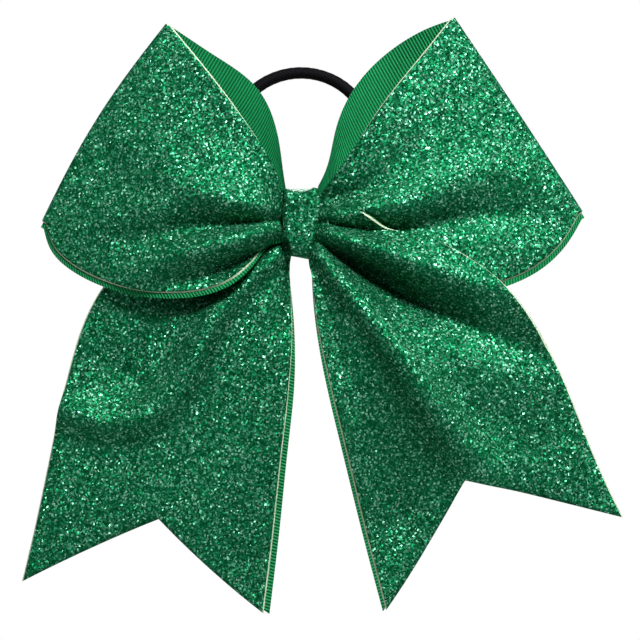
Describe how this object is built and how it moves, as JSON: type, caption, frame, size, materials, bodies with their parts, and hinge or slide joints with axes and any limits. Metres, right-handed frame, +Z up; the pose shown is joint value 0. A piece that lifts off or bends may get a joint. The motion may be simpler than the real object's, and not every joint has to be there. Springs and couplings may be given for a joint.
{
  "type": "cheer hair bow",
  "caption": "Large glitter hair bow for cheerleading: folded ribbon loops, dovetail tails, a wrapped knot and a round hair elastic behind it.",
  "frame": {"origin": "centre of the flat rear face of the knot's wrap, where the bow sits against the ponytail", "axes": "+Z up as worn, the glitter front of the bow faces -Y, +X to the viewer's right"},
  "size_m": [0.1877, 0.0332, 0.1877],
  "materials": {
    "grosgrain": "ribbed woven ribbon, satin sheen",
    "glitter": "coarse metallic glitter on woven backing",
    "elastic": "black knitted braid",
    "rubber": "matt",
    "thread": "matt",
    "glue": "translucent, matt"
  },
  "bodies": {
    "knot": {"back_pass_ribbon": "grosgrain", "back_pass_glitter": "glitter", "middle_pass_ribbon": "grosgrain", "middle_pass_glitter": "glitter", "front_pass_ribbon": "grosgrain", "front_pass_glitter": "glitter", "pinch_thread": "thread", "wrap_ribbon": "grosgrain", "wrap_glitter": "glitter", "glue_dab": "glue"},
    "hair_elastic": {"elastic_core": "rubber", "elastic_cover": "elastic"},
    "left_wing": {"left_loop_ribbon": "grosgrain", "left_loop_glitter": "glitter", "left_shoulder_ribbon": "grosgrain", "left_shoulder_glitter": "glitter"},
    "right_wing": {"right_loop_ribbon": "grosgrain", "right_loop_glitter": "glitter", "right_shoulder_ribbon": "grosgrain", "right_shoulder_glitter": "glitter"},
    "left_tail": {"left_tail_ribbon": "grosgrain", "left_tail_glitter": "glitter"},
    "right_tail": {"right_tail_ribbon": "grosgrain", "right_tail_glitter": "glitter"}
  },
  "joints": [
    {"name": "elastic_swing", "type": "hinge", "parent": "knot", "child": "hair_elastic", "pos_m": [0, -0.0042, -0.0012], "axis": [-1, 0, 0], "range_deg": [0, 150]},
    {"name": "left_wing_flex", "type": "hinge", "parent": "knot", "child": "left_wing", "pos_m": [-0.00605, -0.0166, 0], "axis": [0, 0, 1], "range_deg": [0, 12], "stiffness_Nm_per_rad": 0.03},
    {"name": "right_wing_flex", "type": "hinge", "parent": "knot", "child": "right_wing", "pos_m": [0.00605, -0.0166, 0], "axis": [0, 0, -1], "range_deg": [0, 12], "stiffness_Nm_per_rad": 0.03},
    {"name": "left_tail_flex", "type": "hinge", "parent": "left_wing", "child": "left_tail", "pos_m": [-0.04, -0.014, -0.029], "axis": [-1, 0, 0], "range_deg": [-25, 45], "stiffness_Nm_per_rad": 0.01},
    {"name": "right_tail_flex", "type": "hinge", "parent": "right_wing", "child": "right_tail", "pos_m": [0.045, -0.0205, -0.029], "axis": [-1, 0, 0], "range_deg": [-25, 45], "stiffness_Nm_per_rad": 0.01}
  ]
}
